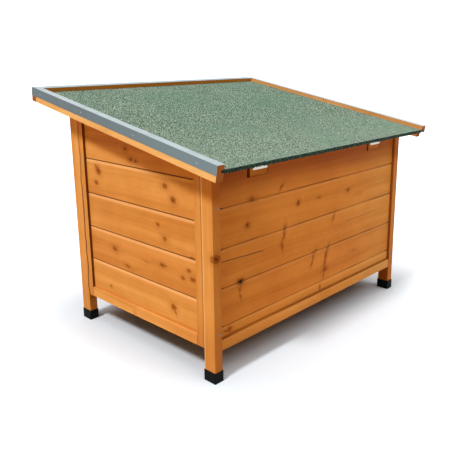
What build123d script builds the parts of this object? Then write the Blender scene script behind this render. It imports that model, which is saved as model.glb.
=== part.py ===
from build123d import *
import os
from math import asin, cos, radians, sin, sqrt, tan

# Insulated wooden dog kennel with a felted lean-to roof that is hinged along its low edge.
# Millimetres. X runs along the kennel, +Y points out of the low rear wall and Z is up.
# The origin lies on the ground, under the middle of the kennel's outline.

# Corner posts and the plan of the body, measured over the posts
post_x = 30
post_y = 44
post_edge = 1.5
body_length = 996
body_depth = 684

# Foot caps pushed onto the posts
cap_height = 34
cap_wall = 1.6
cap_floor = 4
cap_fit = 0.15

# Wall frames: bottom rails, top rails and the stiles of the two short walls
stile_width = 28
long_rail_foot = 95
long_rail_height = 32
long_rail_setback = 1.5
short_rail_foot = 100
short_rail_height = 33
long_top_rail_height = 80
short_top_rail_height = 44
rear_post_drop = 14

# Tongued boards of the walls
board_thickness = 9
board_cover = 117
board_round_height = 6
board_round_depth = 2.9
board_chamfer = 1
tongue_thickness = 2.8
tongue_height = 5
tongue_fit = 0.2
tongue_end_gap = 0.6
long_recess = 9
short_recess = 8
long_first_joint = 163
short_first_joint = 240
least_top_board = 40

# Inner lining, nailed over posts, rails and insulation
lining_thickness = 4
lining_foot = 100

# Roof: slope, overhangs and the grooved rails round the felted panel
roof_pitch = 10.3
low_edge_z = 657
rear_overhang = 78
front_overhang = 131
side_overhang = 54
rail_width = 26
rail_depth = 46
rail_chamfer = 3
rail_round = 1.5
groove_depth = 10
groove_fit = 0.3
felt_drop = 14
felt_thickness = 2
deck_thickness = 6
lip_cut_back = 16
trim_thickness = 1
trim_drop = 27
seat_gap = 0.3

# Insulated ceiling under the roof panel
batten_width = 25
batten_depth = 20
ceiling_thickness = 4
ceiling_gap = 14

# Insulated floor on two ledgers
ledger_size = 20
floor_panel = 4
floor_insulation = 20
floor_deck = 9
floor_fit = 1

# Doorway in the high front wall
doorway_width = 300
doorway_foot = 210
above_doorway = 58
doorway_post_gap = 112
frame_board = 16
frame_edge = 3

# Butt hinges in notches of the rear wall
hinge_length = 62
leaf_height = 44
leaf_thickness = 1.5
barrel_radius = 4
pin_radius = 1.5
pin_fit = 0.05
knuckle_count = 5
knuckle_gap = 0.3
knuckle_relief = 0.6
hinge_side_gap = 0.3
packer_length = 74
notch_length = 88
notch_centre = 316
notch_shift = -9
notch_height = 62
notch_depth = 17
packer_drop = 5

# Slotted stays that hold the roof open
stay_reach = 170
stay_open_angle = 60
stay_width = 18
stay_thickness = 3
stay_pivot_drop = 10
stay_stud_drop = 32
stay_side_gap = 0.3
stay_slack = 0.4
stud_radius = 3
stud_head_radius = 6
stud_head = 2.5
shank_radius = 2.5
shank_length = 20
shank_fit = 0.05
eye_fit = 0.06

# Screws through the posts into the stiles
screw_radius = 2
screw_head_radius = 3.6
screw_head = 1.2
screw_length = 64
screw_fit = 0.05
screw_inset = 20
screw_side_count = 12
screw_low_z = 149
screw_high_z = 520

# Places worked out from the sizes above
slope_cos = cos(radians(roof_pitch))
slope_sin = sin(radians(roof_pitch))
slope_tan = tan(radians(roof_pitch))
half_length = body_length / 2
roof_run = rear_overhang + body_depth + front_overhang
roof_length = roof_run / slope_cos
roof_half = half_length + side_overhang
reach_rear = trim_thickness * slope_sin
reach_front = rail_depth * slope_sin
rear_y = (roof_run + reach_front - reach_rear) / 2 - rear_overhang
front_y = rear_y - body_depth
middle_y = (rear_y + front_y) / 2
long_half = half_length - post_x
short_half = body_depth / 2 - post_y
deck_under = -(felt_drop + felt_thickness + deck_thickness)
lining_x = long_half - lining_thickness
lining_y = body_depth / 2 - post_y - lining_thickness

# The roof's own frame: its origin is the top of the low edge, its Y points down the slope
low_edge = (0, rear_y + rear_overhang, low_edge_z)
roof_frame = Plane(origin=low_edge, x_dir=(1, 0, 0), z_dir=(0, slope_sin, slope_cos))

# The four walls, each seen from outside: X along the wall, Y out of it, Y = 0 on the posts' faces
wall_places = {
    "rear": Location((0, rear_y, 0)),
    "front": Location((0, front_y, 0), (0, 0, 180)),
    "right": Location((half_length, middle_y, 0), (0, 0, -90)),
    "left": Location((-half_length, middle_y, 0), (0, 0, 90)),
}


def block(x0, x1, y0, y1, z0, z1):
    """A square-edged piece between three pairs of limits."""
    return Pos(x0, y0, z0) * Box(x1 - x0, y1 - y0, z1 - z0, align=(Align.MIN, Align.MIN, Align.MIN))


def underside_z(y):
    """Height of the roof panel's underside above a place on the Y axis."""
    return low_edge_z + (rear_y + rear_overhang - y) * slope_tan + deck_under / slope_cos


def slope_place(y, level):
    """Distance along the roof frame's Y axis of a point at a given Y and level."""
    return (y - rear_y - rear_overhang - level * slope_sin) / slope_cos


def under_roof(shape, drop=0):
    """Cuts a piece parallel to the roof, a distance below the panel it carries."""
    return split(shape, bisect_by=roof_frame.offset(deck_under - seat_gap - drop), keep=Keep.BOTTOM)


def turned(profile, place):
    """A turned piece: (radius, position) steps round the Z axis of a place."""
    outline = Polyline(*profile, close=True)
    return place * revolve(Plane.XZ * make_face(outline), Axis.Z)


def rod(radius, length):
    """A round bar that starts on the YZ plane and runs along +X."""
    return Rot(0, 90, 0) * Cylinder(radius, length, align=(Align.CENTER, Align.CENTER, Align.MIN))


# Posts and foot caps
def post(x_side, y_side, drop):
    tall = underside_z(front_y) + cap_height
    shaft = Pos(0, 0, cap_floor) * Box(post_x, post_y, tall, align=(Align.CENTER, Align.CENTER, Align.MIN))
    shaft = fillet(shaft.edges().filter_by(Axis.Z), post_edge)
    x = x_side * (half_length - post_x / 2)
    y = middle_y + y_side * (body_depth - post_y) / 2
    piece = under_roof(Pos(x, y, 0) * shaft, drop)
    return piece - [screw_hole(x_side, y_side, z) for z in (screw_low_z, screw_high_z)]


def foot_cap(x_side, y_side):
    x = x_side * (half_length - post_x / 2)
    y = middle_y + y_side * (body_depth - post_y) / 2
    inner_x = post_x + 2 * cap_fit
    inner_y = post_y + 2 * cap_fit
    low = (Align.CENTER, Align.CENTER, Align.MIN)
    shell = Box(inner_x + 2 * cap_wall, inner_y + 2 * cap_wall, cap_height, align=low)
    shell = fillet(shell.edges().filter_by(Axis.Z), cap_wall)
    shell = chamfer(shell.faces().sort_by(Axis.Z)[-1].edges(), cap_fit * 2)
    pocket = Pos(0, 0, cap_floor) * Box(inner_x, inner_y, cap_height, align=low)
    return Pos(x, y, 0) * (shell - pocket)


# Screws driven along Y through a post into the stile behind it
def screw_place(x_side, y_side, z):
    x = x_side * (half_length - screw_inset)
    y = middle_y + y_side * body_depth / 2
    return Location(Plane(origin=(x, y, z), x_dir=(1, 0, 0), z_dir=(0, y_side, 0)))


def screw_hole(x_side, y_side, z):
    bore = extrude(RegularPolygon(screw_radius + screw_fit, screw_side_count), -screw_length - screw_fit)
    return screw_place(x_side, y_side, z) * bore


def post_screw(x_side, y_side, z):
    shank = extrude(RegularPolygon(screw_radius, screw_side_count), -screw_length)
    head = extrude(RegularPolygon(screw_head_radius, screw_side_count), screw_head)
    return screw_place(x_side, y_side, z) * (shank + head)


# Boards: outer face on Y = 0, tongue up, groove down, laid along X
def board(x0, x1, z0, z1, tongue, groove):
    tongue_out = (board_thickness - tongue_thickness) / 2 + tongue_fit
    tongue_in = tongue_out + tongue_thickness
    points = [(-board_round_depth, z1)]
    if tongue:
        points += [(-tongue_out, z1), (-tongue_out, z1 + tongue_height),
                   (-tongue_in, z1 + tongue_height), (-tongue_in, z1)]
    points += [(-board_thickness, z1), (-board_thickness, z0)]
    if groove:
        roof = z0 + tongue_height + tongue_end_gap
        points += [(-tongue_in - tongue_fit, z0), (-tongue_in - tongue_fit, roof),
                   (-tongue_out + tongue_fit, roof), (-tongue_out + tongue_fit, z0)]
    points += [(-board_chamfer, z0), (0, z0 + board_chamfer), (0, z1 - board_round_height)]
    round_edge = TangentArc((0, z1 - board_round_height), (-board_round_depth, z1), tangent=(0, 1))
    profile = make_face([Polyline(*points), round_edge])
    return extrude(Plane.YZ.offset(x0) * profile, x1 - x0)


def wall_boards(half, recess, foot, first_joint, top):
    """All boards of a wall, from the bottom rail to above the roof line."""
    rows = int((top - least_top_board - first_joint) // board_cover) + 1
    joints = [foot] + [first_joint + row * board_cover for row in range(rows)] + [top + board_cover]
    boards = []
    for row, (z0, z1) in enumerate(zip(joints, joints[1:])):
        boards.append(Pos(0, -recess, 0) * board(-half, half, z0, z1, row < rows, row > 0))
    return boards


# Long walls: boards, rails and insulation between two posts
def long_wall(side):
    place = wall_places[side]
    wall_y = rear_y if side == "rear" else front_y
    inward = -1 if side == "rear" else 1
    top = underside_z(wall_y + inward * post_y)
    foot = long_rail_foot + long_rail_height
    depth = long_recess + board_thickness
    tall = top + board_cover
    cuts = notches() if side == "rear" else [place * doorway_block()]
    boards = []
    for piece in wall_boards(long_half, long_recess, foot, long_first_joint, top):
        boards += (under_roof(place * piece) - cuts).solids()
    bottom_rail = block(-long_half, long_half, -post_y, -long_rail_setback, long_rail_foot, foot)
    rail_shape = place * block(-long_half, long_half, -post_y, -depth, foot, tall)
    top_rail = under_roof(rail_shape) - under_roof(rail_shape, long_top_rail_height)
    insulation = under_roof(rail_shape, long_top_rail_height)
    lining = block(-lining_x, lining_x, -post_y - lining_thickness, -post_y, lining_foot, tall)
    return {
        f"{side}_wall_boards": boards,
        f"{side}_wall_bottom_rail": place * bottom_rail,
        f"{side}_wall_top_rail": top_rail - cuts,
        f"{side}_wall_insulation": insulation - cuts,
        f"{side}_wall_lining": under_roof(place * lining) - (cuts if side == "front" else []),
    }


# Short walls: a framed panel of two stiles and two rails, screwed between front and rear posts
def short_wall(side):
    place = wall_places[side]
    x_side = 1 if side == "right" else -1
    foot = short_rail_foot + short_rail_height
    inner_half = short_half - stile_width
    depth = short_recess + board_thickness
    tall = underside_z(front_y)
    top = underside_z(front_y + post_y + stile_width) - short_top_rail_height
    studs = [stay_stud_hole(x_side)]
    nodes = {}
    for end, y_side in (("front", -1), ("rear", 1)):
        toward = -y_side * x_side
        edges = sorted((toward * inner_half, toward * short_half))
        stile = under_roof(place * block(*edges, -post_x, 0, short_rail_foot, tall))
        holes = [screw_hole(x_side, y_side, z) for z in (screw_low_z, screw_high_z)]
        nodes[f"{side}_wall_{end}_stile"] = stile - holes
    bottom_rail = block(-inner_half, inner_half, -post_x, 0, short_rail_foot, foot)
    nodes[f"{side}_wall_bottom_rail"] = place * bottom_rail
    rail_shape = place * block(-inner_half, inner_half, -post_x, 0, foot, tall)
    top_rail = under_roof(rail_shape) - under_roof(rail_shape, short_top_rail_height)
    nodes[f"{side}_wall_top_rail"] = top_rail - studs
    boards = []
    for piece in wall_boards(inner_half, short_recess, foot, short_first_joint, top):
        boards += under_roof(place * piece, short_top_rail_height).solids()
    nodes[f"{side}_wall_boards"] = boards
    core = place * block(-inner_half, inner_half, -post_x, -depth, foot, tall)
    nodes[f"{side}_wall_insulation"] = under_roof(core, short_top_rail_height)
    lining = place * block(-short_half, short_half, -post_x - lining_thickness, -post_x, lining_foot, tall)
    nodes[f"{side}_wall_lining"] = under_roof(lining) - studs
    return nodes


# Doorway: four boards that line the opening through the whole wall
doorway_top = underside_z(front_y + post_y) - long_top_rail_height / slope_cos - above_doorway - frame_board
doorway_centre = long_half - doorway_post_gap - frame_board - doorway_width / 2


def doorway_block():
    half = doorway_width / 2 + frame_board
    return block(doorway_centre - half, doorway_centre + half, -body_depth / 2, post_y,
                 doorway_foot - frame_board, doorway_top + frame_board)


def doorway_frame():
    place = wall_places["front"]
    half = doorway_width / 2
    inner = -post_y - lining_thickness
    limits = {
        "doorway_sill": (-half - frame_board, half + frame_board, doorway_foot - frame_board, doorway_foot),
        "doorway_head": (-half - frame_board, half + frame_board, doorway_top, doorway_top + frame_board),
        "doorway_left_jamb": (-half - frame_board, -half, doorway_foot, doorway_top),
        "doorway_right_jamb": (half, half + frame_board, doorway_foot, doorway_top),
    }
    nodes = {}
    for name, (x0, x1, z0, z1) in limits.items():
        piece = block(doorway_centre + x0, doorway_centre + x1, inner, 0, z0, z1)
        run = Axis.Z if "jamb" in name else Axis.X
        outer = piece.edges().filter_by(run).group_by(Axis.Y)[-1]
        inner_edges = outer.sort_by(lambda edge: opening_distance(edge.center()))[:1]
        nodes[name] = place * fillet(inner_edges, frame_edge)
    return nodes


def opening_distance(point):
    """How far a point of the doorway's frame lies from the middle of the opening."""
    return abs(point.X - doorway_centre) + abs(point.Z - (doorway_foot + doorway_top) / 2)


# Floor: two ledgers on the lining, and an insulated tray that lies on them
def floor():
    half_x = lining_x - floor_fit
    half_y = lining_y - floor_fit
    place = Pos(0, middle_y, 0)
    ledger_top = lining_foot + ledger_size
    ledgers = []
    for y_side in (-1, 1):
        edges = sorted((y_side * lining_y, y_side * (lining_y - ledger_size)))
        ledgers.append(place * block(-lining_x, lining_x, *edges, lining_foot, ledger_top))
    nodes = {"floor_ledgers": ledgers}
    level = ledger_top
    for name, thickness in (("floor_bottom_panel", floor_panel), ("floor_insulation", floor_insulation),
                            ("floor_deck", floor_deck)):
        nodes[name] = place * block(-half_x, half_x, -half_y, half_y, level, level + thickness)
        level += thickness
    return nodes


# Roof rails: a square section, grooved for the panel, chamfered inside below the groove
def rail_profile():
    """Section with its outer face on X = 0 and its top on Y = 0, the groove opening to -X."""
    groove_x = -rail_width + groove_depth
    return make_face(Polyline(
        (0, 0), (-rail_width, 0), (-rail_width, -felt_drop), (groove_x, -felt_drop), (groove_x, deck_under),
        (-rail_width, deck_under), (-rail_width, -rail_depth + rail_chamfer),
        (-rail_width + rail_chamfer, -rail_depth), (-rail_round, -rail_depth), (0, -rail_depth + rail_round),
        close=True))


def roof_rails():
    nodes = {}
    section = Plane(origin=(roof_half, 0, 0), x_dir=(1, 0, 0), z_dir=(0, -1, 0))
    right = extrude(section * rail_profile(), roof_length - rail_width)
    left = mirror(right, about=Plane.YZ)
    lip = block(roof_half - rail_width, roof_half, -lip_cut_back, 0, -rail_depth, deck_under)
    nodes["roof_rail_right"] = right
    nodes["roof_rail_left"] = left - mirror(lip, about=Plane.YZ)
    section = Plane(origin=(roof_half, -roof_length, 0), x_dir=(0, -1, 0), z_dir=(-1, 0, 0))
    nodes["roof_rail_front"] = extrude(section * rail_profile(), 2 * roof_half)
    return {name: roof_frame.location * piece for name, piece in nodes.items()}


# Felted roof panel that slides into the three grooves
def roof_panel():
    half = roof_half - rail_width + groove_depth - groove_fit
    back = -(roof_length - rail_width + groove_depth - groove_fit)
    felt_under = -felt_drop - felt_thickness
    deck = block(-half, half, back, -felt_thickness, deck_under, felt_under)
    felt = block(-half, half, back, 0, felt_under, -felt_drop)
    felt += block(-half, half, -felt_thickness, 0, deck_under, felt_under)
    return {"roof_deck": roof_frame.location * deck, "roof_felt": roof_frame.location * felt}


# Folded metal trims over the rails
def roof_trims():
    inner = roof_half - rail_width
    right = block(inner, roof_half + trim_thickness, -roof_length, 0, 0, trim_thickness)
    right += block(roof_half, roof_half + trim_thickness, -roof_length, 0, -trim_drop, 0)
    front = block(-inner, inner, -roof_length, -roof_length + rail_width, 0, trim_thickness)
    outer = roof_half + trim_thickness
    front += block(-outer, outer, -roof_length - trim_thickness, -roof_length, -trim_drop, trim_thickness)
    left = mirror(right, about=Plane.YZ)
    nodes = {"roof_trim_right": right, "roof_trim_left": left, "roof_trim_front": front}
    return {name: roof_frame.location * piece for name, piece in nodes.items()}


# Ceiling: a frame of battens under the panel, filled with insulation and closed by a sheet
batten_under = deck_under - batten_depth
ceiling_under = batten_under - ceiling_thickness
ceiling_half = lining_x - ceiling_gap
ceiling_rear = slope_place(middle_y + lining_y - ceiling_gap, deck_under)
ceiling_front = slope_place(middle_y - lining_y + ceiling_gap, ceiling_under)
front_batten_end = ceiling_front + batten_width
rear_batten_start = ceiling_rear - batten_width


def ceiling():
    inner = ceiling_half - batten_width
    battens = []
    for edges in ((ceiling_front, front_batten_end), (rear_batten_start, ceiling_rear)):
        battens.append(block(-ceiling_half, ceiling_half, *edges, batten_under, deck_under))
    for x_side in (-1, 1):
        edges = sorted((x_side * inner, x_side * ceiling_half))
        side = block(*edges, front_batten_end, rear_batten_start, batten_under, deck_under)
        battens.append(side - roof_frame.to_local_coords(stay_pivot_hole(x_side)))
    insulation = block(-inner, inner, front_batten_end, rear_batten_start, batten_under, deck_under)
    sheet = block(-ceiling_half, ceiling_half, ceiling_front, ceiling_rear, ceiling_under, batten_under)
    return {
        "roof_battens": [roof_frame.location * batten for batten in battens],
        "roof_insulation": roof_frame.location * insulation,
        "roof_ceiling": roof_frame.location * sheet,
    }


# Hinge axis: the barrel touches the panel's underside and the hinge's leaf lies flush with the boards
hinge_y = rear_y - long_recess - leaf_thickness + barrel_radius
hinge_z = underside_z(hinge_y) - barrel_radius / slope_cos
hinge_point = Vector(0, hinge_y, hinge_z)
hinge_local = roof_frame.to_local_coords(hinge_point)
packer_face = rear_y - long_recess - leaf_thickness
notch_floor = rear_y - long_recess - notch_depth
notch_starts = [x_side * notch_centre + notch_shift - notch_length / 2 for x_side in (1, -1)]


def notches():
    """Pockets through the boards into the rail; each hinge lies at its pocket's -X end."""
    return [block(x0, x0 + notch_length, notch_floor, rear_y, hinge_z - notch_height, hinge_z + notch_height)
            for x0 in notch_starts]


def hinge_knuckles(first):
    """The knuckles of one leaf: every second place along the barrel, starting with the first or next."""
    pitch = hinge_length / knuckle_count
    starts = [place * pitch for place in range(first, knuckle_count, 2)]
    return [(start + knuckle_gap / 2, start + pitch - knuckle_gap / 2) for start in starts]


def hinge_leaf(first, spans):
    """A leaf hanging down from a barrel on the X axis, its back towards -Y."""
    back = -barrel_radius
    front = -barrel_radius + leaf_thickness
    leaf = block(0, hinge_length, back, front, -leaf_height, -barrel_radius - knuckle_relief)
    for x0, x1 in spans:
        leaf += block(x0, x1, back, front, -barrel_radius - knuckle_relief, 0)
        leaf += Pos(x0, 0, 0) * rod(barrel_radius, x1 - x0)
    return leaf - rod(pin_radius + pin_fit, hinge_length)


def hinges():
    nodes = {"hinge_wall_leaves": [], "hinge_roof_leaves": [], "hinge_pins": [], "hinge_packers": []}
    for x0 in notch_starts:
        barrel = Location((x0 + hinge_side_gap, hinge_y, hinge_z))
        nodes["hinge_wall_leaves"].append(barrel * hinge_leaf(0, hinge_knuckles(0)))
        roof_leaf = mirror(hinge_leaf(1, hinge_knuckles(1)), about=Plane.XY)
        nodes["hinge_roof_leaves"].append(barrel * Rot(-90 - roof_pitch, 0, 0) * roof_leaf)
        nodes["hinge_pins"].append(barrel * rod(pin_radius, hinge_length))
        nodes["hinge_packers"].append(block(x0, x0 + packer_length, notch_floor, packer_face,
                                            hinge_z - notch_height, hinge_z - packer_drop))
    return nodes


# Stays: the pivot on the roof and the stud on the wall stand equally far from the hinge axis
pivot_below = stay_pivot_drop - barrel_radius
stud_below = stay_stud_drop - barrel_radius
rest_angle = asin(stud_below / stay_reach) - asin(pivot_below / stay_reach)
open_angle = rest_angle + radians(stay_open_angle)
slot_start = 2 * stay_reach * sin(rest_angle / 2)
slot_end = 2 * stay_reach * sin(open_angle / 2)
pivot_local = Vector(0, hinge_local.Y - sqrt(stay_reach**2 - pivot_below**2), hinge_local.Z - pivot_below)
stud_local = Vector(0, hinge_local.Y - sqrt(stay_reach**2 - stud_below**2), hinge_local.Z - stud_below)
pivot_point = roof_frame.from_local_coords(pivot_local)
stud_point = roof_frame.from_local_coords(stud_local)
stay_line = (stud_point - pivot_point).normalized()
stay_middle = (ceiling_half + lining_x) / 2
stay_inner = stay_middle - stay_thickness / 2


def side_place(x_side, x, point):
    """A place on one side of the kennel whose Z axis points outwards and X axis along the stay."""
    origin = (x_side * x, point.Y, point.Z)
    return Location(Plane(origin=origin, x_dir=tuple(stay_line), z_dir=(x_side, 0, 0)))


def shank_hole(end):
    """The hole for a shouldered screw, on the side of the XY plane that its end names."""
    reach = shank_length + shank_fit
    return Cylinder(shank_radius + shank_fit, reach, align=(Align.CENTER, Align.CENTER, end))


def stay_pivot_hole(x_side):
    return side_place(x_side, ceiling_half, pivot_point) * shank_hole(Align.MAX)


def stay_stud_hole(x_side):
    return side_place(x_side, lining_x, stud_point) * shank_hole(Align.MIN)


def stay_arm(x_side):
    end = slot_end + stay_slack + stud_radius + stay_width / 2
    slot_half = stud_radius + stay_slack
    first = slot_start - stay_slack
    last = slot_end + stay_slack
    bar = Rectangle(end - stay_width / 2, stay_width, align=(Align.MIN, Align.CENTER))
    bar += Circle(stay_width / 2) + Pos(end - stay_width / 2, 0) * Circle(stay_width / 2)
    bar -= Circle(stud_radius + eye_fit)
    bar -= Pos(first, 0) * Rectangle(last - first, 2 * slot_half, align=(Align.MIN, Align.CENTER))
    bar -= Pos(first, 0) * Circle(slot_half)
    bar -= Pos(last, 0) * Circle(slot_half)
    return side_place(x_side, stay_inner, pivot_point) * extrude(bar, stay_thickness)


def shoulder_stud(collar, grip):
    """A shouldered stud: shank below Z = 0, then collar, bare grip and head."""
    top = collar + grip
    return [(0, -shank_length), (shank_radius, -shank_length), (shank_radius, 0), (stud_head_radius, 0),
            (stud_head_radius, collar), (stud_radius, collar), (stud_radius, top), (stud_head_radius, top),
            (stud_head_radius, top + stud_head), (0, top + stud_head)]


def stays():
    grip = stay_thickness + 2 * stay_side_gap
    collar = stay_inner - stay_side_gap - ceiling_half
    nodes = {"stay_pivot_screws": [], "stay_studs": []}
    for name, x_side in (("right", 1), ("left", -1)):
        nodes[f"stay_{name}"] = stay_arm(x_side)
        on_batten = side_place(x_side, ceiling_half, pivot_point)
        nodes["stay_pivot_screws"].append(turned(shoulder_stud(collar, grip), on_batten))
        on_wall = side_place(x_side, lining_x, stud_point) * Rot(180, 0, 0)
        nodes["stay_studs"].append(turned(shoulder_stud(collar, grip), on_wall))
    return nodes


# Everything together, one file for each node
def kennel():
    nodes = {}
    for x_name, x_side in (("left", -1), ("right", 1)):
        for y_name, y_side, drop in (("front", -1, 0), ("rear", 1, rear_post_drop)):
            nodes[f"post_{y_name}_{x_name}"] = post(x_side, y_side, drop)
            nodes[f"foot_cap_{y_name}_{x_name}"] = foot_cap(x_side, y_side)
    for side in ("rear", "front"):
        nodes.update(long_wall(side))
    for side in ("left", "right"):
        nodes.update(short_wall(side))
    for group in (doorway_frame, floor, roof_rails, roof_panel, roof_trims, ceiling, hinges, stays):
        nodes.update(group())
    nodes["post_screws"] = [post_screw(x_side, y_side, z) for x_side in (-1, 1) for y_side in (-1, 1)
                            for z in (screw_low_z, screw_high_z)]
    return nodes


os.makedirs("parts", exist_ok=True)
for name, shape in kennel().items():
    pieces = shape if isinstance(shape, list) else shape.solids()
    pieces = [solid for piece in pieces for solid in piece.solids()]
    body = pieces[0] if len(pieces) == 1 else Compound(pieces)
    export_step(body, f"parts/{name}.step")
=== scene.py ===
import bmesh
import bpy
from math import atan2, cos, pi, radians, sin, tan
from mathutils import Matrix, Vector, noise


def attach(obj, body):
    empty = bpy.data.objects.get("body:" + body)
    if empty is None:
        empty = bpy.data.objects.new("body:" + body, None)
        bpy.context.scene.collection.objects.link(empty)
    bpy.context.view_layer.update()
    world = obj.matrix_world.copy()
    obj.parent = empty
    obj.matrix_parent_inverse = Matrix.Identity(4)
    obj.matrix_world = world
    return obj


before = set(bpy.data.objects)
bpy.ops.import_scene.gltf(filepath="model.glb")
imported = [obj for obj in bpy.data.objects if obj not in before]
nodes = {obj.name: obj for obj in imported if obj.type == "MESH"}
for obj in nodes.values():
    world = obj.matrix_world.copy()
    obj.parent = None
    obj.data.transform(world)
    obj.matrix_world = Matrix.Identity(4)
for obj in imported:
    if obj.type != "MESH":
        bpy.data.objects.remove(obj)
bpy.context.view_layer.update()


# Corner posts: planed pine, 30 by 44 mm, with eased arrises, dipped in an orange-brown stain.
# They run from the foot caps up to the roof, and their grain runs upright.
class Wire:
    """A socket that carries a value to others, with ordinary arithmetic."""

    def __init__(self, finish, socket):
        self.finish = finish
        self.socket = socket

    def math(self, operation, first, second=0.0):
        return self.finish.node("ShaderNodeMath", {"operation": operation}, {0: first, 1: second})

    def __add__(self, other):
        return self.math("ADD", self, other)

    def __radd__(self, other):
        return self.math("ADD", other, self)

    def __sub__(self, other):
        return self.math("SUBTRACT", self, other)

    def __rsub__(self, other):
        return self.math("SUBTRACT", other, self)

    def __mul__(self, other):
        return self.math("MULTIPLY", self, other)

    def __rmul__(self, other):
        return self.math("MULTIPLY", other, self)

    def __truediv__(self, other):
        return self.math("DIVIDE", self, other)

    def __rtruediv__(self, other):
        return self.math("DIVIDE", other, self)


class Finish:
    """A material on object coordinates, with its shader and the nodes that vary it."""

    def __init__(self, name, roughness, metallic=0.0, specular=0.5):
        self.material = bpy.data.materials.new(name)
        self.material.use_nodes = True
        self.tree = self.material.node_tree
        self.shader = self.tree.nodes["Principled BSDF"]
        self.shader.inputs["Roughness"].default_value = roughness
        self.shader.inputs["Metallic"].default_value = metallic
        self.shader.inputs["Specular IOR Level"].default_value = specular
        self.place = self.node("ShaderNodeTexCoord", {}, {}, "Object")
        self.axes = self.split(self.place)

    def node(self, kind, settings, sockets, output=0):
        """A node of a kind; stops are a ramp's positions and colours."""
        made = self.tree.nodes.new(kind)
        for key, value in settings.items():
            if key != "stops":
                setattr(made, key, value)
        for place, (position, color) in enumerate(settings.get("stops", [])):
            stops = made.color_ramp.elements
            stop = stops[place] if place < 2 else stops.new(position)
            stop.position = position
            stop.color = color
        for key, value in sockets.items():
            if isinstance(value, Wire):
                self.tree.links.new(value.socket, made.inputs[key])
            else:
                made.inputs[key].default_value = value
        return Wire(self, made.outputs[output])

    def split(self, vector):
        return [self.node("ShaderNodeSeparateXYZ", {}, {0: vector}, axis) for axis in "XYZ"]

    def vector(self, x, y, z):
        return self.node("ShaderNodeCombineXYZ", {}, {0: x, 1: y, 2: z})

    def vector_math(self, operation, *values, output=0):
        sockets = dict(enumerate(values))
        return self.node("ShaderNodeVectorMath", {"operation": operation}, sockets, output)

    def cloud(self, place, scale, detail=3.0, roughness=0.5, output=0):
        """Soft noise from 0 to 1; output 1 gives three of them as a vector."""
        sockets = {"Vector": place, "Scale": scale, "Detail": detail, "Roughness": roughness}
        return self.node("ShaderNodeTexNoise", {"noise_dimensions": "3D"}, sockets, output)

    def cells(self, place, scale, output="Distance"):
        """Irregular cells: the distance to the nearest middle, or each cell's own colour."""
        sockets = {"Vector": place, "Scale": scale, "Randomness": 1.0}
        settings = {"voronoi_dimensions": "3D", "feature": "F1"}
        return self.node("ShaderNodeTexVoronoi", settings, sockets, output)

    def chance(self, number):
        """A value from 0 to 1 that is the same for every point with the same number."""
        return self.node("ShaderNodeTexWhiteNoise", {"noise_dimensions": "1D"}, {"W": number}, "Value")

    def remap(self, value, low, high, start=0.0, end=1.0):
        """A smooth step from start to end while the value goes from low to high."""
        sockets = {"Value": value, "From Min": low, "From Max": high, "To Min": start, "To Max": end}
        settings = {"clamp": True, "interpolation_type": "SMOOTHSTEP"}
        return self.node("ShaderNodeMapRange", settings, sockets)

    def mix(self, factor, first, second, blend="MIX"):
        settings = {"data_type": "RGBA", "blend_type": blend}
        return self.node("ShaderNodeMix", settings, {0: factor, 6: first, 7: second}, 2)

    def ramp(self, value, *stops):
        return self.node("ShaderNodeValToRGB", {"stops": stops}, {0: value}, "Color")

    def facing(self, axis):
        """How far a surface faces along an axis of its piece, from -1 to 1."""
        return self.split(self.node("ShaderNodeTexCoord", {}, {}, "Normal"))["XYZ".index(axis)]

    def feed(self, name, value):
        self.tree.links.new(value.socket, self.shader.inputs[name])

    def bump(self, height, distance, strength=1.0):
        sockets = {"Strength": strength, "Distance": distance, "Height": height}
        self.feed("Normal", self.node("ShaderNodeBump", {}, sockets))


def shade(red, green, blue):
    """A colour as it reads on a paint card, 0 to 255, turned to the renderer's linear values."""
    parts = [part / 255 for part in (red, green, blue)]
    return tuple(((part + 0.055) / 1.055) ** 2.4 if part > 0.04 else part / 12.92 for part in parts) + (1,)


def deeper(color, share):
    """The same colour with a share of its light, and warmer for it, as stained wood is."""
    return tuple(part * share ** power for part, power in zip(color, (0.9, 1.1, 1.9))) + (1,)


plank_shift = 7.3
knot_waver = 0.009


def knot_field(finish, grain_place, luck, knots, depth, through):
    """Distance to the nearest knot, 0 in its middle and 1 at its rim.

    A knot or streak is (run, rise, run at its end, rise at its end, half width, strength)."""
    jitter = finish.cloud(grain_place, 60.0, 2.0, output=1)
    jitter = finish.vector_math("SUBTRACT", jitter, (0.5, 0.5, 0.5))
    swayed = finish.vector_math("MULTIPLY_ADD", jitter, (knot_waver, knot_waver, knot_waver), grain_place)
    along, across, deep = finish.split(grain_place)
    cell = finish.vector((along + luck * plank_shift) * 2.3, (across + luck) * 8.5, (deep + luck) * 3.0)
    near = finish.remap(finish.cells(cell, 1.0), 0.02, 0.30, 0.3, 4.0) + (1.2 if knots else 0.2)
    for run, rise, run_end, rise_end, width, strength in knots:
        reach = Vector((run_end - run, rise_end - rise))
        middle = ((run + run_end) / 2, (rise + rise_end) / 2, depth)
        lean = atan2(reach.y, reach.x)
        sockets = {"Vector": swayed, "Location": middle, "Rotation": (0, 0, lean),
                   "Scale": (reach.length / 2 + width, width, width * through)}
        local = finish.node("ShaderNodeMapping", {"vector_type": "TEXTURE"}, sockets)
        gap = finish.vector_math("LENGTH", local, output="Value") + (1 - strength)
        near = near.math("MINIMUM", near, gap)
    return near + (finish.cloud(grain_place, 150.0, 2.0) - 0.5) * 0.5


bands_per_metre = 26
fibres_per_metre = 230
ring_phase_per_metre = 400


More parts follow.
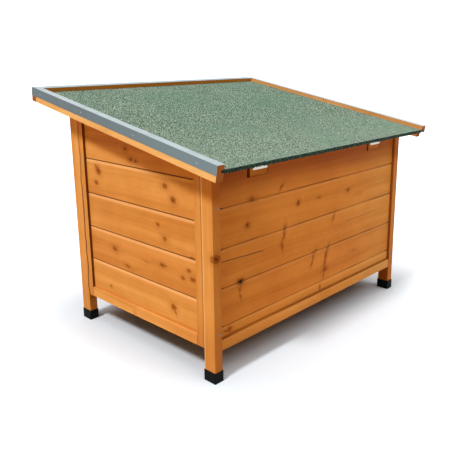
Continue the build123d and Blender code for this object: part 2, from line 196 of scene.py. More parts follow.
def pine(name, run, rise, depth, plank, light, dark, knots=(), knot_depth=0.0, through=5.0, marks=None,
         tone=0.12, wild=0.5, roughness=0.5):
    """Wood with its grain along the run axis, its width along rise and its thickness along depth.

    plank numbers its boards, marks adds a piece's own signs, through is how far a knot goes into the
    wood for its width, tone is how much boards differ, and wild is how much the rings wander."""
    finish = Finish(name, roughness, specular=0.05)
    along, across, deep = (finish.axes["XYZ".index(axis)] for axis in (run, rise, depth))
    number = plank(finish, along, across, deep)
    luck = finish.chance(number)
    shift = luck * plank_shift
    near = knot_field(finish, finish.vector(along, across, deep), luck, knots, knot_depth, through)
    warp = finish.cloud(finish.vector(along * 2.2 + shift, across * 9, deep * 9), 1.0, 2.0) - 0.5
    strips = finish.vector(along * 0.9 + shift, (across + warp * 0.03) * bands_per_metre + luck * 11,
                           deep * bands_per_metre)
    broad = finish.cloud(strips, 1.0, 3.0, 0.45)
    threads = finish.vector(along * 5 + shift, (across + warp * 0.02) * fibres_per_metre,
                            deep * fibres_per_metre)
    fine = finish.cloud(threads, 1.0, 2.0, 0.6)
    bend = finish.remap(near, 0.9, 4.2, 1.0, 0.0)
    rings = (across + warp * 0.09 * wild) * ring_phase_per_metre
    rings = rings + finish.chance(number + 31.7) * 6 + bend * 7 + broad * 6
    rings = finish.remap(finish.node("ShaderNodeMath", {"operation": "SINE"}, {0: rings}), -0.2, 1.0)
    rings = rings * finish.remap(broad, 0.4, 0.66, 0.1, 1.0)
    body = finish.mix(finish.remap(broad, 0.28, 0.72), light, dark)
    body = finish.mix(rings * 0.12, body, deeper(dark, 0.6))
    body = finish.mix(finish.remap(fine, 0.4, 0.8) * 0.13, body, deeper(dark, 0.6))
    blotch = finish.cloud(finish.place, 6.0, 4.0, 0.6) - 0.5
    tint = 1.0 - tone / 2 + luck * tone + blotch * 0.3
    strong = tint * tint
    body = finish.mix(1.0, body, finish.vector(tint, strong, strong * tint), "MULTIPLY")
    body = finish.mix(finish.remap(near, 0.85, 2.8, 0.42, 0.0), body, deeper(dark, 0.66))
    core = finish.ramp(near, (0.0, shade(20, 4, 0)), (0.1, shade(86, 32, 2)), (0.4, shade(140, 62, 8)),
                       (0.68, shade(180, 98, 26)), (0.86, shade(126, 54, 4)), (1.0, shade(178, 98, 28)))
    body = finish.mix(finish.remap(near, 0.75, 1.2, 0.9, 0.0), body, core)
    ends = finish.facing(run)
    body = finish.mix(finish.remap(ends * ends, 0.6, 0.9, 0.0, 0.75), body, deeper(dark, 0.42))
    if marks:
        body = marks(finish, along, across, deep, body)
    finish.feed("Base Color", body)
    finish.feed("Roughness", roughness + (fine - 0.5) * 0.25 + finish.remap(near, 0.6, 1.2, 0.12, 0.0))
    finish.bump(fine * 0.5 + rings * 0.35 + finish.remap(near, 0.5, 1.1, -0.5, 0.0), 0.0005, 0.5)
    return finish.material


def dress(names, material):
    """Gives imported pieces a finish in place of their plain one."""
    for name in names:
        for slot in nodes[name].material_slots:
            slot.material = material


def line_at(finish, value, place, width, strength):
    """A soft line where a value passes a place: its strength in the middle, nothing at its width."""
    gap = finish.node("ShaderNodeMath", {"operation": "ABSOLUTE"}, {0: value - place})
    return finish.remap(gap, width * 0.3, width, strength, 0.0)


honey = shade(231, 155, 75)
amber = shade(213, 134, 56)
shaded_honey = shade(222, 138, 54)
shaded_amber = shade(208, 124, 43)
# Painted highlight for rounded arrises and edges.
highlight_wood = shade(255, 190, 124)
dark_wood = shade(88, 34, 0)
# Painted shadow of the roof's overhang: its colour and the band of heights where it falls.
eave_shadow_color = (0.80, 0.62, 0.28, 1)
eave_shadow_band = (0.590, 0.625)
# Tints for the posts: painted shade on the rear faces and on the inward faces, and darker towards the
# foot.
rear_side_shade_tint = (0.71, 0.61, 0.47, 1)
foot_tint = (0.86, 0.80, 0.76, 1)
inward_shade_tint = (0.54, 0.38, 0.20, 1)
slope = radians(10.3)
roof_fall = tan(slope)
post_arris = 0.3300
stile_seam = -0.2635


def by_side(finish, along, across, deep):
    """A different number for each post or rail, from the corner or side of the kennel that it is on."""
    x_side = finish.remap(finish.axes[0], -0.01, 0.01, 0.0, 3.0)
    return x_side + finish.remap(finish.axes[1], -0.01, 0.01, 0.0, 5.0)


def painted_eave_shadow(finish, band, color, body):
    """Painted shadow of the roof's overhang, which darkens the wood near the roof.

    The band is where it begins and where it is full, as heights under the middle of the roof."""
    under_roof = finish.axes[2] + finish.axes[1] * roof_fall
    return finish.mix(finish.remap(under_roof, *band), body, color, "MULTIPLY")


def inward_faces(finish):
    """1 on the faces that look across the kennel, 0 on all others."""
    return finish.remap(finish.axes[0] * finish.facing("X"), -0.3, -0.1, 1.0, 0.0)


def post_marks(finish, along, across, deep, body):
    """Painted shade on the rear and inward faces, the roof overhang's painted shadow, darker towards the
    foot, a dark line and a painted highlight along the arris behind, and a wavering seam in front.
    """
    # Painted shade on the faces towards the rear.
    rear_side_shade = finish.remap(finish.facing("Y"), 0.6, 0.9)
    body = finish.mix(rear_side_shade, body, rear_side_shade_tint, "MULTIPLY")
    body = painted_eave_shadow(finish, eave_shadow_band, eave_shadow_color, body)
    body = finish.mix(finish.remap(along, 0.08, 0.26, 1.0, 0.0), body, foot_tint, "MULTIPLY")
    # Painted shade on the faces that look across the kennel.
    body = finish.mix(inward_faces(finish), body, inward_shade_tint, "MULTIPLY")
    body = finish.mix(line_at(finish, deep, post_arris - 0.0034, 0.0022, 0.5), body, dark_wood)
    # Painted highlight along the post's rounded arris.
    body = finish.mix(line_at(finish, deep, post_arris, 0.0028, 0.9), body, highlight_wood)
    waver = (finish.cloud(finish.vector(along * 11, 0.0, 0.0), 1.0, 3.0) - 0.5) * 0.026
    fade = finish.remap(along, 0.40, 0.62, 1.0, 0.55)
    seam = line_at(finish, deep + waver, stile_seam, 0.0046, 0.95) * fade
    return finish.mix(seam, body, dark_wood)


post_knots = [(0.378, 0.489, 0.377, 0.484, 0.0120, 1.15), (0.600, 0.485, 0.610, 0.486, 0.0040, 0.6)]
post_face = 0.371
post_pine = pine("post_pine", "Z", "X", "Y", by_side, honey, amber, post_knots, post_face, 1.0,
                 marks=post_marks, wild=0.8)
dress(["post_front_left", "post_front_right", "post_rear_left", "post_rear_right"], post_pine)


# Frames of the walls: planed pine rails and stiles in the same stain, flush with each other.
# The stiles' grain runs upright like the posts', the rails' grain runs along the wall.
stile_tint = (0.92, 0.86, 0.80, 1)
# Painted shade and painted light for the two ends of the long walls.
shaded_end_tint = (0.78, 0.73, 0.64, 1)
lit_end_tint = (1.0, 1.16, 1.45, 1)
rail_ends = (-0.2395, 0.3005)


def stile_marks(finish, along, across, deep, body):
    """The same seam as on the posts, and painted shade on the side faces towards the boards."""
    body = finish.mix(1.0, body, stile_tint, "MULTIPLY")
    body = post_marks(finish, along, across, deep, body)
    # Painted shade on the faces that turn towards the boards.
    turned = finish.facing("Y")
    return finish.mix(finish.remap(turned * turned, 0.5, 0.8, 0.0, 0.85), body, dark_wood)


stile_pine = pine("stile_pine", "Z", "X", "Y", by_side, honey, amber, marks=stile_marks)


def painted_end_light(finish, along, body):
    """Painted shade towards one end of the long walls, and painted light towards the other."""
    body = finish.mix(finish.remap(along, 0.14, 0.47), body, shaded_end_tint, "MULTIPLY")
    return finish.mix(finish.remap(along, -0.45, -0.05, 1.0, 0.0), body, lit_end_tint, "MULTIPLY")


def rail_top_shade_marks(finish, along, across, deep, body):
    """The walls' painted end shade and light, and painted shade on the narrow upper faces."""
    body = painted_end_light(finish, along, body)
    # Painted shade on the narrow faces that look up.
    return finish.mix(finish.remap(finish.facing("Z"), 0.6, 0.9, 0.0, 0.6), body, shade(132, 64, 6))


long_rail_pine = pine("long_rail_pine", "X", "Z", "Y", by_side, honey, amber, marks=rail_top_shade_marks)


def ledge_marks(finish, along, across, deep, body):
    """Paler top faces as painted light, a dark line where a short rail meets each stile, and the roof
    overhang's painted shadow.
    """
    # Painted light on the faces that look up.
    body = finish.mix(finish.remap(finish.facing("Z"), 0.6, 0.9, 0.0, 0.15), body, shade(246, 200, 130))
    for end in rail_ends:
        body = finish.mix(line_at(finish, along, end, 0.0024, 0.75), body, dark_wood)
    return painted_eave_shadow(finish, eave_shadow_band, eave_shadow_color, body)


short_rail_pine = pine("short_rail_pine", "Y", "Z", "X", by_side, honey, amber, marks=ledge_marks)
dress([f"{side}_wall_{end}_stile" for side in ("left", "right") for end in ("front", "rear")], stile_pine)
for end in ("top", "bottom"):
    dress([f"rear_wall_{end}_rail", f"front_wall_{end}_rail"], long_rail_pine)
    dress([f"left_wall_{end}_rail", f"right_wall_{end}_rail"], short_rail_pine)


# Wall boards: wide tongued pine boards, each cut from another plank, so each has its own figure.
# Their knots, spike knots and resin streaks are dark; one knot of the rear wall has a hole.
board_cover = 0.117
long_first_joint = 0.163
short_first_joint = 0.240
board_end = 0.468
board_start = -0.2395
rail_top = 0.127
# Painted shadows of the roof's overhang on the side, front and rear boards.
side_eave_shadow_color = (0.80, 0.60, 0.24, 1)
front_eave_shadow_color = (0.85, 0.74, 0.50, 1)
front_eave_shadow_band = (0.600, 0.720)
rear_eave_shadow_color = (0.56, 0.40, 0.20, 1)
rear_eave_shadow_band = (0.580, 0.668)
rear_knots = [
    (0.189, 0.539, 0.204, 0.524, 0.0044, 0.88), (0.337, 0.519, 0.323, 0.517, 0.0080, 0.85),
    (0.112, 0.467, 0.113, 0.467, 0.0092, 1.0), (0.012, 0.464, -0.008, 0.463, 0.0046, 0.6),
    (-0.161, 0.461, -0.181, 0.463, 0.0072, 0.72), (-0.171, 0.461, -0.172, 0.461, 0.0062, 1.0),
    (0.349, 0.445, 0.350, 0.445, 0.0096, 1.0), (0.178, 0.403, 0.182, 0.386, 0.0078, 0.86),
    (0.182, 0.386, 0.182, 0.370, 0.0056, 0.88), (0.183, 0.370, 0.193, 0.356, 0.0046, 0.8),
    (0.194, 0.352, 0.189, 0.330, 0.0068, 0.86), (-0.090, 0.390, -0.081, 0.370, 0.0052, 0.82),
    (0.384, 0.2795, 0.377, 0.2785, 0.0060, 1.9), (0.378, 0.272, 0.383, 0.250, 0.0034, 0.8),
    (0.390, 0.270, 0.386, 0.248, 0.0026, 0.75), (0.384, 0.246, 0.381, 0.226, 0.0030, 0.8),
    (0.010, 0.284, 0.025, 0.278, 0.0070, 0.85), (0.025, 0.276, 0.028, 0.256, 0.0058, 0.78),
    (0.029, 0.254, 0.038, 0.234, 0.0052, 0.76), (-0.062, 0.284, -0.050, 0.266, 0.0064, 0.88),
    (-0.050, 0.266, -0.044, 0.240, 0.0084, 0.8), (-0.044, 0.238, -0.038, 0.210, 0.0080, 0.78),
    (-0.050, 0.202, -0.036, 0.200, 0.0100, 0.86), (-0.038, 0.192, -0.034, 0.174, 0.0050, 0.75),
    (-0.016, 0.148, -0.016, 0.136, 0.0050, 0.8), (0.430, 0.150, 0.427, 0.149, 0.0080, 0.82),
    (0.457, 0.149, 0.420, 0.138, 0.0062, 0.58), (-0.210, 0.228, -0.235, 0.226, 0.0046, 0.6),
]
knot_hole = (0.3795, 0.2792, 0.0062, 0.0046)
rear_cracks = [(0.464, 0.3600, 0.260, 0.349, 0.95), (-0.160, 0.347, -0.370, 0.350, 0.4)]
side_knots = [
    (-0.175, 0.560, -0.168, 0.554, 0.0130, 0.95), (-0.188, 0.574, -0.180, 0.568, 0.0050, 0.7),
    (-0.190, 0.515, -0.185, 0.514, 0.0090, 0.9), (0.163, 0.556, 0.171, 0.554, 0.0105, 0.78),
    (0.200, 0.519, 0.206, 0.517, 0.0100, 1.0), (-0.021, 0.645, -0.013, 0.644, 0.0085, 0.6),
    (0.004, 0.613, 0.014, 0.613, 0.0080, 0.65), (0.028, 0.611, 0.037, 0.611, 0.0070, 0.6),
    (0.126, 0.431, 0.131, 0.430, 0.0064, 0.95), (0.153, 0.394, 0.161, 0.392, 0.0130, 0.56),
    (-0.107, 0.304, -0.098, 0.302, 0.0108, 0.8), (-0.048, 0.261, -0.024, 0.257, 0.0080, 0.62),
    (0.137, 0.306, 0.147, 0.306, 0.0088, 0.9), (0.163, 0.307, 0.150, 0.306, 0.0034, 0.7),
    (0.257, 0.318, 0.266, 0.317, 0.0062, 0.82), (0.230, 0.289, 0.240, 0.288, 0.0080, 0.72),
    (0.273, 0.295, 0.285, 0.294, 0.0090, 0.86), (0.185, 0.184, 0.191, 0.182, 0.0112, 0.82),
    (0.193, 0.173, 0.199, 0.163, 0.0042, 0.75), (-0.143, 0.162, -0.135, 0.161, 0.0064, 0.7),
    (0.264, 0.360, 0.289, 0.360, 0.0036, 0.85), (0.050, 0.300, 0.075, 0.298, 0.0034, 0.5),
]


def plank_number(finish, across, first_joint, deep):
    """The number of the board at a height, other numbers for the opposite wall."""
    row = finish.node("ShaderNodeMath", {"operation": "FLOOR"}, {0: (across - first_joint) / board_cover})
    return row + finish.remap(deep, -0.01, 0.01, 0.0, 20.0)


def long_plank(finish, along, across, deep):
    """The number of a board in the rear and front walls."""
    return plank_number(finish, across, long_first_joint, deep)


def short_plank(finish, along, across, deep):
    """The number of a board in the two short walls."""
    return plank_number(finish, across, short_first_joint, deep)


def joint_marks(finish, across, first_joint, strength, highlight_strength, body):
    """Dark stain in each joint, and a painted highlight along the next board's rounded edge."""
    row = (across - first_joint) / board_cover
    offset = (row - finish.node("ShaderNodeMath", {"operation": "ROUND"}, {0: row})) * board_cover
    # Painted highlight along the next board's rounded top edge.
    body = finish.mix(line_at(finish, offset, -0.0055, 0.0080, highlight_strength), body, highlight_wood)
    return finish.mix(line_at(finish, offset, 0.0002, 0.0030, 1.0) * strength, body, dark_wood)


def side_marks(finish, along, across, deep, body):
    """Sharp joints, the painted shadow of the roof's overhang, and painted shade in the reveal at the
    boards' front ends.
    """
    body = joint_marks(finish, across, short_first_joint, 0.9, 0.5, body)
    body = painted_eave_shadow(finish, eave_shadow_band, side_eave_shadow_color, body)
    # Painted shade in the reveal at the boards' front ends.
    reveal = finish.remap(along, board_start + 0.0045, board_start + 0.001, 0.0, 0.8)
    return finish.mix(reveal, body, dark_wood)


def long_marks(finish, along, across, deep, body):
    """Joints that are filled here and there, open and dark at the boards' ends, painted shade along the
    boards' ends and just above the bottom rail, and the walls' painted end shade and light.
    """
    filled = finish.cloud(finish.vector(along * 5, across * 6, deep), 1.0, 2.0)
    open_end = finish.remap(along * along, (board_end - 0.026) ** 2, (board_end - 0.014) ** 2)
    strength = finish.remap(filled, 0.38, 0.58, 0.8, 0.3)
    strength = strength.math("MAXIMUM", strength, open_end)
    body = joint_marks(finish, across, long_first_joint, strength, 0.12, body)
    # Painted shade in the reveal at the boards' ends and along the boards just above the bottom rail.
    edge = finish.remap(along * along, (board_end - 0.0042) ** 2, board_end ** 2, 0.0, 0.8)
    foot = line_at(finish, across, rail_top + 0.002, 0.0075, 0.35)
    body = finish.mix(edge.math("MAXIMUM", edge, foot), body, dark_wood)
    return painted_end_light(finish, along, body)


def front_marks(finish, along, across, deep, body):
    """The same as all long boards, and a little painted shadow of the roof's overhang."""
    body = long_marks(finish, along, across, deep, body)
    return painted_eave_shadow(finish, front_eave_shadow_band, front_eave_shadow_color, body)


def rear_marks(finish, along, across, deep, body):
    """Painted shadow under the low eave, the darkest of all, and on top of it the cracks and the open knot
    hole.
    """
    body = long_marks(finish, along, across, deep, body)
    body = painted_eave_shadow(finish, rear_eave_shadow_band, rear_eave_shadow_color, body)
    for run, rise, run_end, rise_end, strength in rear_cracks:
        share = (along - run) / (run_end - run)
        height = across - share * (rise_end - rise) + (finish.cloud(finish.place, 40.0, 2.0) - 0.5) * 0.002
        inside = finish.remap(share, 0.0, 0.04) * finish.remap(share, 1.0, 0.8)
        crack = line_at(finish, height, rise, 0.0020, strength) * inside
        body = finish.mix(crack, body, shade(66, 38, 34))
    hole_run = (along - knot_hole[0]) / knot_hole[2]
    hole_rise = (across - knot_hole[1]) / knot_hole[3]
    hole = finish.remap(hole_run * hole_run + hole_rise * hole_rise, 0.5, 1.2, 0.95, 0.0)
    return finish.mix(hole, body, shade(34, 6, 0))


rear_face = 0.3590
right_face = 0.4855
# The rear boards take the shaded copies of the stain, as painted shade.
rear_pine = pine("rear_board_pine", "X", "Z", "Y", long_plank, shaded_honey, shaded_amber, rear_knots,
                 rear_face, marks=rear_marks)
front_pine = pine("front_board_pine", "X", "Z", "Y", long_plank, honey, amber, marks=front_marks)
right_pine = pine("right_board_pine", "Y", "Z", "X", short_plank, honey, amber, side_knots, right_face,
                  marks=side_marks)
left_pine = pine("left_board_pine", "Y", "Z", "X", short_plank, honey, amber, marks=side_marks)
dress(["rear_wall_boards"], rear_pine)
dress(["front_wall_boards"], front_pine)
dress(["right_wall_boards"], right_pine)
dress(["left_wall_boards"], left_pine)


# Doorway frame: four stained boards nailed round the opening, their outer edges rounded.
# The jambs' grain runs upright and that of head and sill along the wall.
jamb_pine = pine("jamb_pine", "Z", "X", "Y", by_side, honey, amber)
dress(["doorway_left_jamb", "doorway_right_jamb"], jamb_pine)
dress(["doorway_head", "doorway_sill"], long_rail_pine)


# Lining, ceiling, floor and roof deck: thin poplar plywood, sanded and left bare.
# The battens in the roof are bare sawn pine.
bare_light = shade(222, 192, 146)
bare_dark = shade(200, 166, 118)
plywood = pine("plywood", "X", "Y", "Z", by_side, bare_light, bare_dark,
               tone=0.05, wild=1.6, roughness=0.62)
lining_ply = pine("lining_ply", "Z", "X", "Y", by_side, bare_light, bare_dark,
                  tone=0.05, wild=1.6, roughness=0.62)
bare_pine = pine("bare_pine", "X", "Z", "Y", by_side, bare_light, bare_dark, roughness=0.65)
dress(["roof_deck", "roof_ceiling", "floor_deck"], plywood)
dress([f"{side}_wall_lining" for side in ("rear", "front", "left", "right")], lining_ply)
dress(["roof_battens"], bare_pine)

# Underside: the panel that closes the floor from below and its ledgers, brushed with a dark
# brown preservative, because they face the wet ground.
tarred_light = shade(112, 86, 62)
tarred_dark = shade(86, 64, 44)
underside_ply = pine("underside_ply", "X", "Y", "Z", by_side, tarred_light, tarred_dark,
                     tone=0.05, wild=1.6)
dress(["floor_bottom_panel", "floor_ledgers"], underside_ply)


# Insulation: white foam board, cut to size and shut in between boards and lining.
# Its cut faces show the small beads that it is made of.
foam = Finish("foam_board", 0.85)
beads = foam.cells(foam.place, 260.0)
foam.feed("Base Color", foam.mix(foam.remap(beads, 0.2, 0.7), shade(244, 244, 240), shade(214, 214, 210)))
foam.bump(beads, 0.0006, 0.6)
dress([name for name in nodes if name.endswith("insulation")], foam.material)


# Roof rails: stained pine, grooved for the panel, two down the slope and one along the high edge.
# Their end grain, which takes up more stain, shows at the low end of the slope.
rail_honey = shade(244, 182, 108)
rail_amber = shade(231, 163, 88)
inner_face_tint = (1.0, 0.89, 0.98, 1)


def rail_marks(finish, along, across, deep, body):
    """Dark end grain at the low end of the slope, and redder inner faces."""
    body = finish.mix(finish.remap(finish.facing("Y"), 0.6, 0.9, 0.0, 0.8), body, shade(136, 66, 12))
    return finish.mix(inward_faces(finish), body, inner_face_tint, "MULTIPLY")


slope_rail_pine = pine("slope_rail_pine", "Y", "Z", "X", by_side, rail_honey, rail_amber, marks=rail_marks)
# The rail along the high edge takes darker copies of the shaded stain, as painted shade on its inner face.
shaded_front_rail_pine = pine("shaded_front_rail_pine", "X", "Z", "Y", by_side, deeper(shaded_honey, 0.88),
                       deeper(shaded_amber, 0.84))
dress(["roof_rail_left", "roof_rail_right"], slope_rail_pine)
dress(["roof_rail_front"], shaded_front_rail_pine)


# Roof felt: bitumen felt strewn with grey-green mineral granules, slid into the rails' grooves.
# Light and dark grains of about two millimetres lie mixed, and are paler towards the low edge,
# where the cut sheet shows black bitumen.
low_edge = Vector((0, 0.450523, 0.657))
felt = Finish("roof_felt_granules", 0.92, specular=0.15)
grain = felt.node("ShaderNodeSeparateColor", {}, {0: felt.cells(felt.place, 500.0, "Color")}, 0)
clump = felt.cloud(felt.place, 270.0, 3.0, 0.75)
patch = felt.cloud(felt.place, 4.5, 4.0, 0.55)
speck = grain * 0.5 + felt.remap(clump, 0.40, 0.60) * 0.5
granules = felt.ramp(speck, (0.06, shade(4, 13, 8)), (0.34, shade(52, 79, 62)),
                     (0.6, shade(100, 125, 105)), (0.94, shade(207, 218, 197)))
granules = felt.mix(felt.remap(patch, 0.4, 0.7) * 0.35, granules, shade(78, 122, 102))
worn = felt.remap(felt.axes[1] + (patch - 0.5) * 0.4, 0.0, 0.45, 0.0, 0.1)
granules = felt.mix(worn, granules, shade(190, 198, 176))
torn = felt.remap(felt.axes[1] + (clump - 0.5) * 0.02, low_edge.y - 0.0030, low_edge.y, 0.0, 0.85)
cut_face = felt.remap(felt.facing("Y"), 0.6, 0.8)
felt.feed("Base Color", felt.mix(torn.math("MAXIMUM", torn, cut_face), granules, shade(16, 28, 22)))
felt.bump(speck, 0.0012, 0.7)
dress(["roof_felt"], felt.material)

# Torn edge of the felt: along the low edge the sheet is folded down over the deck and trimmed
# by hand, so that dark bitumen and single granules stand out of an uneven line.
slope_axes = Matrix(((1, 0, 0, low_edge.x), (0, cos(slope), sin(slope), low_edge.y),
                     (0, -sin(slope), cos(slope), low_edge.z), (0, 0, 0, 1)))
edge_half = 0.5255
edge_top = -0.0133
edge_drop = 0.0105
edge_steps = 420
edge_rows = 5
edge_thickness = 0.0012
mesh = bmesh.new()
bmesh.ops.create_grid(mesh, x_segments=edge_steps, y_segments=edge_rows, size=0.5)
for vert in mesh.verts:
    height = vert.co.y + 0.5
    along = vert.co.x * 2 * edge_half
    coarse = noise.noise(Vector((along * 80, height * 1.3, 2.0)))
    small = noise.noise(Vector((along * 310, height, 7.0)))
    rough = noise.noise(Vector((along * 240, height * 5, 4.0)))
    swell = 0.0007 * sin(pi * min(height * 1.1, 1.0)) + 0.0005 * rough
    drop = edge_drop + 0.0030 * coarse + 0.0022 * small
    level = edge_top + 0.0012 * small * height - (1 - height) * drop
    vert.co = Vector((along, 0.0004 + swell, level))
bmesh.ops.solidify(mesh, geom=mesh.faces, thickness=edge_thickness)
bmesh.ops.recalc_face_normals(mesh, faces=mesh.faces)
mesh.transform(slope_axes)
torn_mesh = bpy.data.meshes.new("felt_torn_edge")
mesh.to_mesh(torn_mesh)
mesh.free()
torn_edge = bpy.data.objects.new("felt_torn_edge", torn_mesh)
bpy.context.collection.objects.link(torn_edge)
bitumen = Finish("bitumen_edge", 0.85, specular=0.2)
crumbs = bitumen.cloud(bitumen.place, 190.0, 3.0, 0.75)
crumbs = bitumen.remap(crumbs, 0.46, 0.64)
bitumen.feed("Base Color", bitumen.mix(crumbs, shade(10, 18, 14), shade(58, 92, 70)))
bitumen.bump(crumbs, 0.001, 0.8)
torn_mesh.materials.append(bitumen.material)
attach(torn_edge, "lid")


# Metal trims: thin zinc-coated sheet, folded over the outer top corner of each rail.
# The coating is a matt blue-grey with fine scratches, darker towards the front end and bright where cut,
# and its top faces are painted paler, as painted light.
zinc = Finish("trim_sheet", 0.42, metallic=0.2)
bloom = zinc.cloud(zinc.place, 16.0, 4.0, 0.6)
scratch = zinc.cloud(zinc.vector(zinc.axes[0] * 500, zinc.axes[1] * 5, zinc.axes[2] * 500), 1.0, 2.0)
sheet = zinc.mix(zinc.remap(bloom, 0.3, 0.7), shade(82, 95, 99), shade(92, 105, 109))
sheet = zinc.mix(zinc.remap(zinc.axes[1], -0.2, 0.44, 0.0, 1.0), sheet, shade(106, 121, 124))
# Painted light: the top faces are paler than the sides, palest on the far side; the cut ends are bright.
lit_top_and_cut_edge = zinc.mix(zinc.remap(bloom, 0.3, 0.7), shade(156, 168, 172), shade(176, 187, 190))
far_side_light = zinc.remap(zinc.axes[0], -0.51, -0.50, 0.5, 0.0)
lit_top_and_cut_edge = zinc.mix(far_side_light, lit_top_and_cut_edge, shade(222, 220, 214))
on_top = zinc.remap(zinc.facing("Z"), 0.55, 0.85)
low_end = zinc.remap(zinc.facing("Y"), 0.7, 0.9)
zinc.feed("Base Color", zinc.mix(on_top.math("MAXIMUM", on_top, low_end), sheet, lit_top_and_cut_edge))
zinc.feed("Roughness", 0.38 + bloom * 0.14 + scratch * 0.06)
zinc.bump(scratch * 0.3 + bloom, 0.0004, 0.25)
dress(["roof_trim_left", "roof_trim_right", "roof_trim_front"], zinc.material)

# Trim nails: short galvanised nails with small flat-domed heads, driven through the trims' outer
# faces into the rails at even steps.
nail_radius = 0.0020
nail_dome = 0.0005
nail_drop = 0.0143
trim_face = 0.553
side_nail_places = (0.377, 0.113, -0.150, -0.392)
front_nail_places = (-0.42, -0.14, 0.14, 0.42)
roof_length = 0.90763
nails = bmesh.new()


def nail_head(place):
    """One low domed head that faces along +X of its place."""
    head = bmesh.ops.create_uvsphere(nails, u_segments=14, v_segments=8, radius=nail_radius)["verts"]
    bmesh.ops.scale(nails, verts=head, vec=(nail_dome / nail_radius, 1, 1))
    bmesh.ops.transform(nails, verts=head, matrix=place)


for side in (-1, 1):
    for y in side_nail_places:
        height = low_edge.z + (low_edge.y - y) * roof_fall - nail_drop / cos(slope)
        nail_head(Matrix.Translation((side * trim_face, y, height)))
for x in front_nail_places:
    front_face = Matrix.Translation((x, -roof_length - 0.001, -nail_drop))
    nail_head(slope_axes @ front_face @ Matrix.Rotation(-pi / 2, 4, "Z"))
nail_mesh = bpy.data.meshes.new("trim_nails")
nails.to_mesh(nail_mesh)
nails.free()
trim_nails = bpy.data.objects.new("trim_nails", nail_mesh)
bpy.context.collection.objects.link(trim_nails)
for face in nail_mesh.polygons:
    face.use_smooth = True


def steel(name, light, dark, roughness, metallic):
    """A plated steel with a faint spangle."""
    plating = Finish(name, roughness, metallic=metallic)
    spangle = plating.cloud(plating.place, 160.0, 2.0)
    plating.feed("Base Color", plating.mix(spangle, dark, light))
    plating.feed("Roughness", roughness - 0.05 + spangle * 0.2)
    return plating.material


nail_mesh.materials.append(steel("nail_steel", shade(190, 194, 196), shade(150, 156, 160), 0.45, 0.6))
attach(trim_nails, "lid")


# Hinges: rolled butt hinges of pale zinc-plated steel, screwed to a packing block in the wall
# and to the underside of the roof panel.
plated = Finish("hinge_plating", 0.4, metallic=0.45)
haze = plated.cloud(plated.place, 55.0, 3.0)
plated.feed("Base Color", plated.mix(haze, shade(196, 192, 180), shade(222, 219, 210)))
plated.feed("Roughness", 0.32 + haze * 0.2)
dress(["hinge_wall_leaves", "hinge_roof_leaves", "hinge_pins"], plated.material)
# The packing blocks take darker copies of the shaded stain, as painted shade in their notches.
shaded_packer_pine = pine("shaded_packer_pine", "X", "Z", "Y", by_side, deeper(shaded_amber, 0.78),
                   deeper(shaded_amber, 0.64))
dress(["hinge_packers"], shaded_packer_pine)


# Stays: flat steel bars with a long slot, their studs and pivot screws turned from steel.
# All are bright zinc plated.
bright = steel("bright_plating", shade(214, 214, 208), shade(186, 187, 184), 0.35, 0.85)
dress(["stay_left", "stay_right", "stay_pivot_screws", "stay_studs"], bright)


# Post screws: plated steel screws through the posts into the stiles, seated on the post's face.
# Their heads are dull from handling.
dull = steel("dull_plating", shade(150, 140, 132), shade(96, 86, 80), 0.55, 0.5)
dress(["post_screws"], dull)


# Foot caps: black moulded plastic cups pushed over the ends of the posts.
# They have a fine matt texture and keep the wood off wet ground.
plastic = Finish("cap_plastic", 0.55, specular=0.08)
pebble = plastic.cloud(plastic.place, 900.0, 2.0)
dust = plastic.remap(plastic.axes[2], 0.0, 0.010, 0.05, 0.0) * plastic.cloud(plastic.place, 60.0, 3.0)
plastic.feed("Base Color", plastic.mix(dust, shade(3, 3, 4), shade(80, 80, 80)))
plastic.feed("Roughness", 0.46 + pebble * 0.2)
plastic.bump(pebble, 0.0003, 0.5)
dress([name for name in nodes if name.startswith("foot_cap")], plastic.material)


# Studio: a white floor that keeps the kennel's soft shadow and glows faintly outside a box round the
# kennel, so that the rim of the shadow is partly painted shade, a white sky that is brightest overhead,
# a lamp from the kennel's right and a broad faint one from its rear, and a camera that stands where
# the photograph's did.
floor_mesh = bpy.data.meshes.new("studio_floor")
ground = bmesh.new()
bmesh.ops.create_grid(ground, x_segments=1, y_segments=1, size=60)
ground.to_mesh(floor_mesh)
ground.free()
studio_floor = bpy.data.objects.new("studio_floor", floor_mesh)
bpy.context.collection.objects.link(studio_floor)
paper = Finish("studio_paper", 0.9, specular=0.0)
rays = [paper.node("ShaderNodeLightPath", {}, {}, f"Is {kind} Ray")
        for kind in ("Camera", "Glossy", "Transmission")]
seen = rays[0].math("MAXIMUM", rays[0], rays[1])
seen = seen.math("MAXIMUM", seen, rays[2])
floor_bounce = (0.76, 0.70, 0.64, 1)
floor_seen = (0.76, 0.82, 0.87, 1)
paper.feed("Base Color", paper.mix(seen, floor_bounce, floor_seen))
shadow_middle = (0.02, 0.03, 0.0)
shadow_half = (0.36, 0.29, 0.0)
shadow_fade = (0.15, 0.55)
outside = paper.vector_math("ABSOLUTE", paper.vector_math("SUBTRACT", paper.place, shadow_middle))
outside = paper.vector_math("SUBTRACT", outside, shadow_half)
outside = paper.vector_math("MAXIMUM", outside, (0.0, 0.0, 0.0))
outside = paper.vector_math("LENGTH", outside, output="Value")
# Painted shade: the floor glows for the camera only outside a box round the kennel, so the floor near it
# stays darker.
glow = paper.remap(outside, *shadow_fade, 0.0, 0.5) * seen
paper.shader.inputs["Emission Strength"].default_value = 1.0
paper.feed("Emission Color", paper.vector(glow, glow, glow))
floor_mesh.materials.append(paper.material)

world = bpy.data.worlds.new("studio")
bpy.context.scene.world = world
world.use_nodes = True
sky = world.node_tree
background = sky.nodes["Background"]
background.inputs["Color"].default_value = (1.0, 1.0, 1.0, 1)


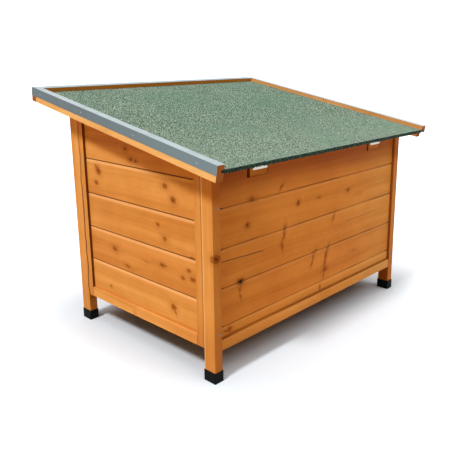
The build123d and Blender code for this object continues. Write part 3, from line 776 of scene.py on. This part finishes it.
def sky_node(kind, settings, sockets, output=0):
    """One node of the sky, with its settings and sockets filled in."""
    made = sky.nodes.new(kind)
    for key, value in settings.items():
        setattr(made, key, value)
    for key, value in sockets.items():
        if isinstance(value, bpy.types.NodeSocket):
            sky.links.new(value, made.inputs[key])
        else:
            made.inputs[key].default_value = value
    return made.outputs[output]


direction = sky_node("ShaderNodeTexCoord", {}, {}, "Generated")
upward = sky_node("ShaderNodeSeparateXYZ", {}, {0: direction}, "Z")
upward = sky_node("ShaderNodeMath", {"operation": "MAXIMUM"}, {0: upward, 1: 0.0})
dome = sky_node("ShaderNodeMath", {"operation": "POWER"}, {0: upward, 1: 4.0})
dome = sky_node("ShaderNodeMath", {"operation": "MULTIPLY"}, {0: dome, 1: 2.1})
sky_rays = [sky_node("ShaderNodeLightPath", {}, {}, f"Is {kind} Ray")
            for kind in ("Camera", "Glossy", "Transmission")]
sky_seen = sky_node("ShaderNodeMath", {"operation": "MAXIMUM"}, {0: sky_rays[0], 1: sky_rays[1]})
sky_seen = sky_node("ShaderNodeMath", {"operation": "MAXIMUM"}, {0: sky_seen, 1: sky_rays[2]})
strength = sky_node("ShaderNodeMix", {"data_type": "FLOAT"}, {0: sky_seen, 2: dome, 3: 1.0})
sky.links.new(strength, background.inputs["Strength"])


def lamp(name, toward, spread, power):
    """A distant soft lamp in a direction; spread is how wide it looks, in degrees."""
    data = bpy.data.lights.new(name, "SUN")
    data.angle = radians(spread)
    data.energy = power
    light = bpy.data.objects.new(name, data)
    bpy.context.collection.objects.link(light)
    light.location = Vector(toward) * 4
    light.rotation_euler = Vector(toward).to_track_quat("Z", "Y").to_euler()


lamp("gable_lamp", (0.53, 0.05, 0.75), 9, 2.12)
lamp("rear_lamp", (-0.12, 0.62, 0.77), 34, 0.65)

pixels = 452
focal_pixels = 590.8
shift_pixels = (-18.3, -24.7)
sensor = 36
view_data = bpy.data.cameras.new("studio_camera")
view_data.sensor_width = sensor
view_data.lens = sensor * focal_pixels / pixels
view_data.shift_x = shift_pixels[0] / pixels
view_data.shift_y = shift_pixels[1] / pixels
view_data.clip_end = 100
studio_camera = bpy.data.objects.new("studio_camera", view_data)
bpy.context.collection.objects.link(studio_camera)
yaw, pitch, roll = radians(46.92), radians(13.98), radians(-0.34)
ahead = Vector((-sin(yaw) * cos(pitch), -cos(yaw) * cos(pitch), -sin(pitch)))
level_right = Vector((-cos(yaw), sin(yaw), 0))
level_up = level_right.cross(ahead)
right = cos(roll) * level_right + sin(roll) * level_up
up = -sin(roll) * level_right + cos(roll) * level_up
turn = Matrix((right, up, -ahead)).transposed().to_4x4()
camera_place = (1.5528, 1.4764, 0.9235)
studio_camera.matrix_world = Matrix.Translation(camera_place) @ turn
bpy.context.scene.camera = studio_camera
bpy.context.scene.view_settings.view_transform = "Standard"
